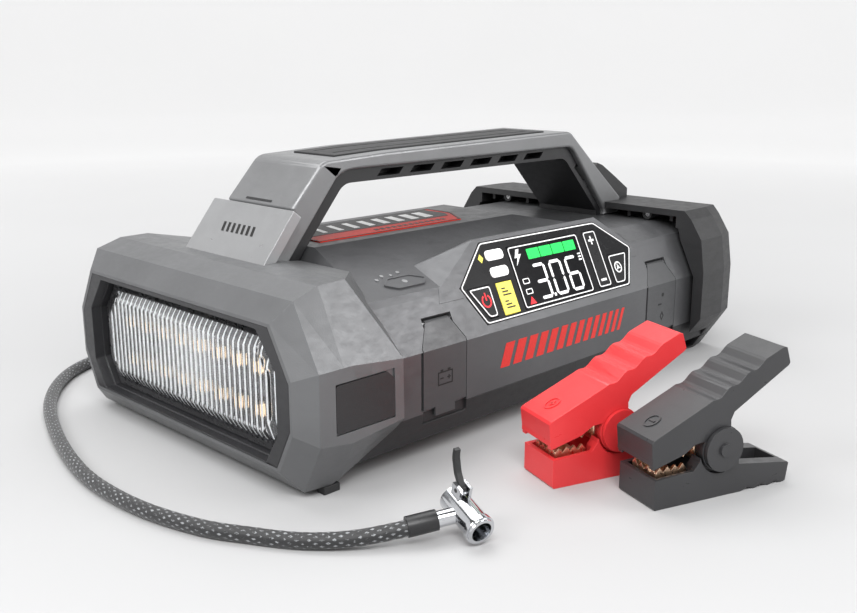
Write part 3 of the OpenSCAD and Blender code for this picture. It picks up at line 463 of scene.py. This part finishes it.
def lens():
    columns = int(140 / FLUTE * 8)
    rows = 44
    verts = []
    for layer in (0, 1):
        for i in range(columns + 1):
            y = -69.9 + 139.8 * i / columns
            low, high = reach(y)
            for k in range(rows + 1):
                t = k / rows
                z = low + 0.1 + (high - low - 0.2) * (t - 0.06 * math.sin(math.tau * t))
                x = lens_x(y, z)
                if layer == 0:
                    x -= FLUTE_DEPTH * (abs(math.sin(math.pi * y / FLUTE)) - 1)
                else:
                    x += 1.9
                verts.append(at(x, y, z))
    n = rows + 1
    faces = []
    for layer in (0, 1):
        base = layer * (columns + 1) * n
        for i in range(columns):
            for k in range(rows):
                a = base + i * n + k
                faces.append([a, a + 1, a + n + 1, a + n] if layer else [a, a + n, a + n + 1, a + 1])
    back = (columns + 1) * n
    for i in range(columns):
        for k in (0, rows):
            a = i * n + k
            faces.append([a, a + n, a + n + back, a + back])
    for k in range(rows):
        for i in (0, columns):
            a = i * n + k
            faces.append([a, a + 1, a + 1 + back, a + back])
    made = piece("lens_fluted", verts, faces, "lens", smooth=50.0)
    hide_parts("lamp_lens")


lens()
glints()


def leds():
    case, chip = Heap(lambda a, b, h: at(11.0 - h, a, b)), Heap(lambda a, b, h: at(11.0 - h, a, b))
    for row in (29.0, 47.0):
        for i in range(8):
            y = (i - 3.5) * 14.0
            case.frame(rounded(box(y - 3.2, row - 3.2, y + 3.2, row + 3.2), 0.5, 2), 1.1, 0.0, 1.6)
            chip.prism(rounded(box(y - 2.1, row - 2.1, y + 2.1, row + 2.1), 0.4, 2), 0.0, 2.9)
    # the LED cases glow, a painted brightness
    case.make("led_cases", "led_case", slot="board")
    chip.make("led_chips", "led", slot="board")


leds()

# ---------------------------------------------------------------- control panel

PANEL = [(99, 22.4), (109, 3.7), (219.5, 4), (230.5, 23.5), (206, 40.3), (119.7, 40.8)]
POWER = [(103, 20.9), (111.6, 6.4), (117.3, 6.4), (117.5, 20.9)]
ROCKER = box(194.4, 6.4, 204.8, 36)
PUMP = [(208.6, 6.4), (216.8, 6.4), (224.8, 21.6), (208.6, 21.6)]
SCREEN = box(136.3, 6, 189.3, 36)
FACE, KEY_FACE, SCREEN_FACE = 0.3, 0.5, 0.5
LINE_W = 0.55


def outlines():
    rim = Heap(on_facet)
    rim.frame(rounded(shrunk(PANEL, 0.5), 1.5), LINE_W, FACE - 0.05, FACE + 0.12)
    rim.make("panel_border", "line", slot="lamp_white")
    screen = Heap(on_facet)
    screen.frame(rounded(shrunk(SCREEN, 0.3), 1.6), LINE_W, SCREEN_FACE - 0.05, SCREEN_FACE + 0.12)
    screen.make("display_border", "line", slot="lamp_white")
    for name, outline, body in (("power", POWER, "power_button"), ("rocker", ROCKER, "adjust_rocker"),
                                ("pump", PUMP, "pump_button")):
        edge = Heap(on_facet)
        edge.frame(rounded(shrunk(outline, 0.35), 1.6), LINE_W, KEY_FACE - 0.05, KEY_FACE + 0.1)
        edge.make(f"{name}_key_border", "line", body, "lamp_white")


SEGMENTS = {"0": "abcdef", "1": "bc", "2": "abged", "3": "abgcd", "4": "fgbc", "5": "afgcd",
            "6": "afgecd", "7": "abc", "8": "abcdefg", "9": "abfgcd"}


def digit(heap, x, s, wide, tall, glyph, lean=0.0, bar=1.5):
    """A seven-segment figure with mitred bars; (x, s) is its lower left corner."""
    cut, half = 0.22, bar / 2
    mid = tall / 2

    def bar_h(y):
        return [(cut + half, y), (cut + bar, y - half), (wide - cut - bar, y - half),
                (wide - cut - half, y), (wide - cut - bar, y + half), (cut + bar, y + half)]

    def bar_v(x0, y0, y1):
        return [(x0, y0 + cut + half), (x0 + half, y0 + cut + bar), (x0 + half, y1 - cut - bar),
                (x0, y1 - cut - half), (x0 - half, y1 - cut - bar), (x0 - half, y0 + cut + bar)]

    shapes = {"a": bar_h(tall - half), "g": bar_h(mid), "d": bar_h(half),
              "f": bar_v(half, mid - half, tall), "b": bar_v(wide - half, mid - half, tall),
              "e": bar_v(half, 0, mid + half), "c": bar_v(wide - half, 0, mid + half)}
    for segment in SEGMENTS[glyph]:
        heap.prism([(x + px + lean * py, s + py) for px, py in shapes[segment]],
                   SCREEN_FACE, SCREEN_FACE + 0.1)


def figures():
    digits = Heap(on_facet)
    for k, glyph in enumerate("306"):
        digit(digits, 149.0 + 12.4 * k, 8.4, 9.4, 17.4, glyph)
    digits.prism(rounded(box(159.0, 8.6, 160.5, 10.1), 0.4, 2), SCREEN_FACE, SCREEN_FACE + 0.1)
    bolt = [(139.6, 26.6), (141.6, 30.4), (139.6, 30.2), (141.9, 34.2), (144.0, 34.2), (142.4, 31.6),
            (144.6, 31.8)]
    digits.prism(bolt, SCREEN_FACE, SCREEN_FACE + 0.1)
    for k in range(2):
        low = 17.4 - 5.0 * k
        digits.frame(rounded(box(140.0, low, 144.6, low + 2.6), 0.6, 2), 0.4, SCREEN_FACE, SCREEN_FACE + 0.1)
    for k in range(3):
        digits.prism(box(185.4, 22.6 + 1.5 * k, 187.6, 23.3 + 1.5 * k), SCREEN_FACE, SCREEN_FACE + 0.1)
    digits.make("display_figures", "white", slot="lamp_white")
    bars = Heap(on_facet)
    for k in range(4):
        bars.prism(rounded(box(149.0 + 9.3 * k, 28.4, 157.7 + 9.3 * k, 33.4), 0.4, 2),
                   SCREEN_FACE, SCREEN_FACE + 0.1)
    bars.make("display_charge_bars", "green", slot="lamp_white")
    warn = Heap(on_facet)
    warn.prism([(140.2, 7.6), (144.8, 7.6), (142.5, 11.2)], SCREEN_FACE, SCREEN_FACE + 0.1)
    warn.make("display_warning", "red_lit", slot="lamp_white")


def arc_band(heap, x, s, r, width, start, end, low, high, steps=18):
    ring = [(x + r * math.cos(start + (end - start) * k / steps),
             s + r * math.sin(start + (end - start) * k / steps)) for k in range(steps + 1)]
    back = [(x + (r - width) * math.cos(start + (end - start) * k / steps),
             s + (r - width) * math.sin(start + (end - start) * k / steps)) for k in range(steps, -1, -1)]
    for k in range(steps):
        heap.prism([ring[k], ring[k + 1], back[steps - k - 1], back[steps - k]], low, high)


def key_signs():
    power = Heap(on_facet)
    arc_band(power, 112.6, 14.2, 3.1, 0.8, math.radians(120), math.radians(420), KEY_FACE, KEY_FACE + 0.1)
    power.prism(box(112.2, 14.4, 113.0, 18.0), KEY_FACE, KEY_FACE + 0.1)
    power.make("power_key_sign", "red_lit", "power_button", "lamp_white")
    unit = Heap(on_facet)
    for low in (8.6, 14.6):
        for k in range(3):
            unit.prism(box(124.2, low + 1.5 * k, 129.8 - 1.6 * k, low + 0.7 + 1.5 * k),
                       KEY_FACE, KEY_FACE + 0.1)
    unit.make("unit_key_sign", "ink", "unit_button", "lamp_white")
    rock = Heap(on_facet)
    rock.prism(box(197.4, 30.6, 201.8, 31.6), KEY_FACE, KEY_FACE + 0.1)
    rock.prism(box(199.1, 31.6, 200.1, 33.3), KEY_FACE, KEY_FACE + 0.1)
    rock.prism(box(199.1, 28.9, 200.1, 30.6), KEY_FACE, KEY_FACE + 0.1)
    rock.prism(box(197.4, 9.6, 201.8, 10.8), KEY_FACE, KEY_FACE + 0.1)
    rock.make("rocker_signs", "line", "adjust_rocker", "lamp_white")
    pump = Heap(on_facet)
    arc_band(pump, 214.4, 14.6, 3.0, 0.7, 0.0, math.tau, KEY_FACE, KEY_FACE + 0.1)
    pump.prism(disc(214.4, 14.6, 0.9, 12), KEY_FACE, KEY_FACE + 0.1)
    for k in range(3):
        turn = math.radians(90 + 120 * k)
        pump.prism([(214.4 + r * math.cos(turn + d), 14.6 + r * math.sin(turn + d))
                    for r, d in ((1.2, -0.2), (2.1, 0.1), (1.2, 0.5))], KEY_FACE, KEY_FACE + 0.1)
    pump.make("pump_key_sign", "line", "pump_button", "lamp_white")
    spot = Heap(on_facet)
    spot.prism([(115.8, 33.3), (117.5, 31.2), (119.2, 33.3), (117.5, 35.4)], FACE, FACE + 0.1)
    spot.make("panel_diamond", "yellow", slot="yellow_key")


outlines()
figures()
key_signs()

# ---------------------------------------------------------------- marks and trim

SLOPE_FOOT = (-70.8, 69.84)
SLOPE = math.atan2(85.0 - SLOPE_FOOT[1], -25.0 - SLOPE_FOOT[0])


def on_slope(x, s, h):
    """A point on the crown's long slope, s up from the shoulder."""
    return at(x, SLOPE_FOOT[0] + s * math.cos(SLOPE) - h * math.sin(SLOPE),
              SLOPE_FOOT[1] + s * math.sin(SLOPE) + h * math.cos(SLOPE))


def on_leg(y, s, h):
    """A point on the sloping front of the handle, s up from the nose plate."""
    way = Vector((17.4, 18.7)).normalized()
    return at(46.6 + s * way.x - h * way.y, y, 102.8 + s * way.y + h * way.x)


def on_plate(y, s, h):
    way = Vector((19.8, 24.8)).normalized()
    return at(23.7 + s * way.x - h * way.y, y, 78.2 + s * way.y + h * way.x)


def slanted(x, s, wide, tall, lean):
    return [(x, s), (x + wide, s), (x + wide + lean * tall, s + tall), (x + lean * tall, s + tall)]


def top_label():
    def flat(x, y, h):
        return on_top(x, y, h, 85.4)
    band = Heap(flat)
    band.prism([(66.4, -5.5), (161.5, -5.5), (165.6, 0.6), (165.6, 17.6), (66.4, 17.6)], 0.0, 0.1)
    band.frame([(66.2, -17.8), (157.8, -17.8), (169.6, 0.0), (169.6, 17.8), (66.2, 17.8)], 1.0, 0.0, 0.12)
    band.make("label_band", "ink", slot="label")
    ticks = Heap(flat)
    for k in range(9):
        ticks.prism(slanted(72 + 9.6 * k, -1.5, 2.2 + 0.45 * k, 13.5, 0.22), 0.1, 0.18)
    ticks.make("label_ticks", "line", slot="label")
    dashes = Heap(flat)
    for k in range(13):
        dashes.prism(slanted(104 + 3.8 * k, -13.4, 2.4, 3.2, 0.3), 0.0, 0.1)
    dashes.make("label_dashes", "ink", slot="label")


def side_pattern():
    """A plain run of slanted bars along the side, in the place of the printed name."""
    bars = Heap(on_side)
    x = 116.0
    for k in range(14):
        wide = 6.2 - 0.3 * k
        bars.prism(slanted(x, 29.5, wide, 11.0, 0.35), 0.0, 0.12)
        x += wide + 2.6
    bars.make("side_bars", "red_mark", slot="label")


def plate_mark():
    marks = Heap(on_plate)
    for k in range(7):
        marks.prism(slanted(-12.2 + 3.6 * k, 16.4, 1.7, 4.6, 0.25), -0.05, 0.12)
    marks.make("nose_plate_dashes", "ink", slot="black_plastic")
    slot = Heap(on_leg)
    slot.prism(rounded(box(-8.0, 1.4, 11.0, 2.6), 0.5, 3), -0.2, 0.12)
    slot.make("nose_slot", "black", slot="black_plastic")


def emblem():
    outline = [(63, 8.5), (68, 4.2), (83, 4.2), (88, 8.5), (81, 13.2), (68, 13.2)]
    plate = Heap(on_slope)
    plate.prism(rounded(outline, 1.0, 3), -0.2, 0.45)
    plate.frame(rounded(outline, 1.0, 3), 0.9, 0.4, 0.85)
    plate.make("crown_emblem", "body", slot="shell_grey")
    dots = Heap(on_slope)
    for x, s, r in ((63.6, 13.8, 0.8), (68.2, 16.0, 0.9), (73.0, 15.4, 0.7), (78.0, 16.6, 0.9), (75.5, 9.0, 1.3)):
        dots.prism(disc(x, s, r, 14), -0.1, 0.5)
    # the dots take the nose plate's lighter grey, with its painted highlight
    dots.make("crown_emblem_dots", "plate", slot="handle_grey")


def cover_marks():
    jump = Heap(on_side)
    # a plain battery outline with its two terminals, plus and minus
    jump.frame([(75.9, 30.6), (84.9, 30.6), (84.9, 36.6), (75.9, 36.6)], 0.6, 0.0, 0.1)
    for mark in (box(77.4, 36.6, 79.0, 37.5), box(81.8, 36.6, 83.4, 37.5), box(77.2, 33.3, 79.2, 33.9),
                 box(81.6, 33.3, 83.6, 33.9), box(82.3, 32.6, 82.9, 33.3), box(82.3, 33.9, 82.9, 34.6)):
        jump.prism(mark, 0.0, 0.1)
    jump.make("jump_cover_sign", "ink", "jump_port_cover", "black_plastic")
    usb = Heap(on_side)
    usb.prism(disc(249.6, 41.0, 1.1, 14), 0.0, 0.1)
    usb.prism(box(245.6, 35.6, 248.6, 36.4), 0.0, 0.1)
    usb.frame([(249.6, 26.6), (251.4, 29.2), (249.6, 31.8), (247.8, 29.2)], 0.6, 0.0, 0.1)
    usb.make("usb_cover_sign", "ink", "usb_port_cover", "black_plastic")


CLAMP_AT = {"red": (-73.0, -139.0), "black": (-62.0, -178.0)}
CLAMP_W = 22.0
CLAMP_YAW = math.radians(-20.0)


def on_jaw(colour):
    """Places points on the upper jaw's flat top, a along it and b across it."""
    way = Vector((23.6, 10.4)).normalized()
    turn = Matrix.Rotation(CLAMP_YAW, 3, "Z")
    corner = Vector((*CLAMP_AT[colour], 0.0))

    def place(a, b, h):
        local = Vector((-1.6 + a * way.x - h * way.y, b + CLAMP_W / 2, 28.2 + a * way.y + h * way.x))
        return (corner + turn @ local) * MM
    return place


def clamp_signs():
    for colour in CLAMP_AT:
        sign = Heap(on_jaw(colour))
        sign.frame([(8.0 + 3.8 * math.cos(math.tau * k / 28), 3.0 * math.sin(math.tau * k / 28))
                    for k in range(28)], 0.7, -0.1, 0.4)
        sign.prism(box(7.55, -1.5, 8.45, 1.5), -0.1, 0.4)
        if colour == "red":
            sign.prism(box(6.5, -0.45, 9.5, 0.45), -0.1, 0.4)
        sign.make(f"{colour}_clamp_sign", f"clamp_{colour}", f"{colour}_clamp_top", f"clamp_{colour}")


top_label()
side_pattern()
plate_mark()
emblem()
cover_marks()
clamp_signs()

# ---------------------------------------------------------------- hose

ROUTE = [(50, 104, 36), (50, 112, 35), (49, 121, 31), (46, 130, 24), (40, 138, 15), (31, 145, 8),
         (18, 150, 4), (2, 153, 3), (-24, 155, 3), (-52, 155, 3), (-80, 152, 3), (-108, 146, 3),
         (-135, 134, 3), (-155, 115, 3), (-172, 88, 3), (-185, 55, 3), (-195, 20, 3),
         (-200, -11, 3), (-199, -44, 3), (-192, -73, 3), (-183, -91, 3), (-173, -107, 3),
         (-161, -120, 4), (-147, -130, 6), (-137, -135, 7.5)]
ROUTE = [Vector(p) * MM for p in ROUTE]
HOSE_D = 6.0 * MM


def smooth_route(points, step):
    """The route as one smooth curve through its points, sampled evenly enough for the sleeve."""
    ends = [2 * points[0] - points[1]] + points + [2 * points[-1] - points[-2]]
    out = []
    for i in range(1, len(ends) - 2):
        p0, p1, p2, p3 = ends[i - 1:i + 3]
        count = max(2, round((p2 - p1).length / step))
        for k in range(count):
            t = k / count
            out.append(0.5 * ((2 * p1) + (p2 - p0) * t + (2 * p0 - 5 * p1 + 4 * p2 - p3) * t ** 2
                              + (3 * p1 - p0 - 3 * p2 + p3) * t ** 3))
    out.append(points[-1])
    return out


def hose():
    path = smooth_route(ROUTE, 0.0011)
    around = 28
    length, run = 0.0, [0.0]
    for a, b in zip(path, path[1:]):
        length += (b - a).length
        run.append(length)
    verts, faces = [], []
    side = Vector((1, 0, 0))
    for i, p in enumerate(path):
        way = (path[min(i + 1, len(path) - 1)] - path[max(i - 1, 0)]).normalized()
        side = (side - way * side.dot(way)).normalized()
        up = way.cross(side)
        for k in range(around):
            turn = math.tau * k / around
            weave = (math.sin(run[i] * 1450 + 7 * turn) + math.sin(run[i] * 1450 - 7 * turn)) / 4
            r = HOSE_D / 2 * (0.975 + 0.05 * weave)
            verts.append(p + (side * math.cos(turn) + up * math.sin(turn)) * r)
    for i in range(len(path) - 1):
        for k in range(around):
            a, b = i * around + k, i * around + (k + 1) % around
            faces.append([a, b, b + around, a + around])
    faces += [list(range(around - 1, -1, -1)), list(range(len(verts) - around, len(verts)))]
    tube = piece("hose_sleeve", verts, faces, "braid", smooth=60.0)
    uv = tube.data.uv_layers.new(name="along")
    for polygon in tube.data.polygons:
        columns = [v % around for v in polygon.vertices]
        wrap = max(columns) - min(columns) > around / 2
        for loop, v, column in zip(polygon.loop_indices, polygon.vertices, columns):
            uv.data[loop].uv = (run[v // around] * 100,
                                (column + (around if wrap and column == 0 else 0)) / around)
    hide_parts("hose")


hose()

# ---------------------------------------------------------------- stage, light and camera

def stage():
    floor = bpy.data.meshes.new("floor")
    back, bend, rise, sides = 2.4, 0.8, 2.4, 72
    rows = [(0.6, 0.0), (1.5, 0.0), (back, 0.0)]
    rows += [(back + math.sin(t) * bend, bend - math.cos(t) * bend)
             for t in [math.radians(9 * k) for k in range(1, 11)]]
    rows.append((back + bend, rise))
    verts = [(r * math.cos(math.tau * k / sides), r * math.sin(math.tau * k / sides), z)
             for r, z in rows for k in range(sides)]
    faces = [list(range(sides))]
    for i in range(len(rows) - 1):
        for k in range(sides):
            n = (k + 1) % sides
            faces.append([i * sides + k, (i + 1) * sides + k, (i + 1) * sides + n, i * sides + n])
    floor.from_pydata(verts, [], faces)
    obj = bpy.data.objects.new("floor", floor)
    bpy.context.scene.collection.objects.link(obj)
    for polygon in floor.polygons:
        polygon.use_smooth = True
    t = Tree("floor_paper")
    t.link(t.ramp(t.noise(3.0, 2.0), [(0.3, (0.415, 0.415, 0.418)), (0.7, (0.43, 0.43, 0.433))]),
           t.shader.inputs["Base Color"])
    # the paper brightens away from the object, so the backdrop stays even
    away = t.add("ShaderNodeVectorMath")
    away.operation = "LENGTH"
    t.link(t.place, away.inputs[0])
    glow = t.ramp(t.span(away.outputs["Value"], 0.0, 1.0, 0.2, 2.8),
                  [(0.0, (0.0,) * 3), (0.2, (0.26,) * 3), (0.42, (0.55,) * 3), (0.7, (0.60,) * 3), (1.0, (0.60,) * 3)])
    t.link(glow, t.shader.inputs["Emission Color"])
    t.fixed(roughness=0.7, specular=0.2, emission=1.0)
    floor.materials.append(t.material)


def lamp(name, where, aim, size, power, colour=(1.0, 1.0, 1.0)):
    light = bpy.data.lights.new(name, "AREA")
    light.shape = "RECTANGLE"
    light.size, light.size_y = size
    light.energy = power
    light.color = colour
    obj = bpy.data.objects.new(name, light)
    obj.location = where
    obj.rotation_euler = (Vector(aim) - Vector(where)).to_track_quat("-Z", "Y").to_euler()
    bpy.context.scene.collection.objects.link(obj)


def studio():
    scene = bpy.context.scene
    scene.view_settings.view_transform = "Standard"
    world = bpy.data.worlds.new("studio")
    scene.world = world
    world.use_nodes = True
    background = world.node_tree.nodes["Background"]
    background.inputs["Color"].default_value = (0.95, 0.955, 0.96, 1.0)
    background.inputs["Strength"].default_value = 0.2
    lamp("overhead", (0.1, 0.35, 1.1), (0.0, 0.0, 0.05), (1.2, 0.8), 12.0)
    lamp("key", (-0.75, -0.65, 1.15), (0.0, 0.0, 0.06), (0.9, 0.5), 12.5)
    lamp("near", (-0.38, -0.55, 0.55), (-0.12, -0.05, 0.06), (0.35, 0.25), 1.6)
    lamp("left", (-0.95, 0.15, 0.75), (-0.12, 0.0, 0.05), (0.5, 0.4), 5.0)
    lamp("right", (0.50, -0.76, 0.42), (-0.05, -0.05, 0.06), (0.5, 0.35), 3.4)


def camera():
    data = bpy.data.cameras.new("camera")
    data.lens = 41.72
    data.sensor_width = 36.0
    obj = bpy.data.objects.new("camera", data)
    obj.location = at(-209.2, -359.2, 165.1)
    obj.rotation_euler = (math.radians(75.911), 0.0, math.radians(-45.215))
    bpy.context.scene.collection.objects.link(obj)
    bpy.context.scene.camera = obj


stage()
studio()
camera()
